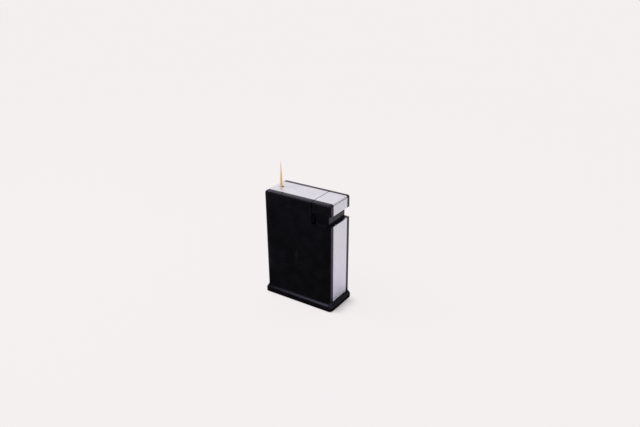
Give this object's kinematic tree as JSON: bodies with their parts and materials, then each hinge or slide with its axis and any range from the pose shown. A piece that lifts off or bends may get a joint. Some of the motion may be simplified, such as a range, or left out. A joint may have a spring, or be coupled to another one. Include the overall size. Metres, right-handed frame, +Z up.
{
  "type": "toothpick dispenser",
  "caption": "Upright press-button toothpick dispenser: black case with a silver band, a corner button that lifts a pick through the top, and a flared foot.",
  "frame": {"origin": "on the surface it stands on, under the middle of the case", "axes": "+X to the button end, -Y to the near side, +Z up"},
  "size_m": [0.07, 0.034, 0.1204],
  "materials": {
    "gloss_black": "polished",
    "satin_silver": "satin",
    "inner_black": "moulded",
    "lift_white": "moulded",
    "pin_steel": "turned",
    "spring_steel": "drawn",
    "pick_wood": "plain",
    "pad_rubber": "matte"
  },
  "bodies": {
    "case": {"side_shell_near": "gloss_black", "side_shell_far": "gloss_black", "top_band": "satin_silver", "front_panel": "satin_silver", "foot": "gloss_black", "foot_pads": "pad_rubber", "foot_screws": "pin_steel", "hopper": "inner_black", "plug_catch": "spring_steel", "pick_guide": "inner_black", "pick_retainer": "spring_steel", "retainer_rivet": "pin_steel", "rocker_pivot": "pin_steel", "rocker_washer": "lift_white", "chassis": "inner_black", "chassis_screws": "pin_steel", "return_spring": "spring_steel"},
    "button": {"button_cap": "gloss_black", "button_plate": "satin_silver", "plunger": "inner_black"},
    "rocker": {"rocker": "lift_white", "front_link_pin": "pin_steel", "rear_link_pin": "pin_steel"},
    "lifter": {"lifter": "lift_white"},
    "pick": {"toothpick": "pick_wood"},
    "plug": {"refill_plug": "inner_black"}
  },
  "joints": [
    {"name": "button_press", "type": "slide", "parent": "case", "child": "button", "axis": [0, 0, -1], "range_m": [0, 0.00916], "stiffness_N_per_m": 150, "springref_m": -0.01, "deforming": ["return_spring"]},
    {"name": "rocker_turn", "type": "hinge", "parent": "case", "child": "rocker", "pos_m": [0.0102, 0.0096, 0.045], "axis": [0, 1, 0], "range_deg": [0, 44.9]},
    {"name": "lifter_rise", "type": "slide", "parent": "case", "child": "lifter", "axis": [0, 0, 1], "range_m": [0, 0.02749]},
    {"name": "pick_pull", "type": "slide", "parent": "case", "child": "pick", "axis": [0, 0, 1], "range_m": [0, 0.045]},
    {"name": "plug_pull", "type": "slide", "parent": "case", "child": "plug", "axis": [0, 0, -1], "range_m": [0, 0.036]}
  ],
  "couplings": [
    {"joint": "rocker_turn", "follows": "button_press", "rad_per_m": 85.49},
    {"joint": "lifter_rise", "follows": "button_press", "ratio": 3}
  ]
}
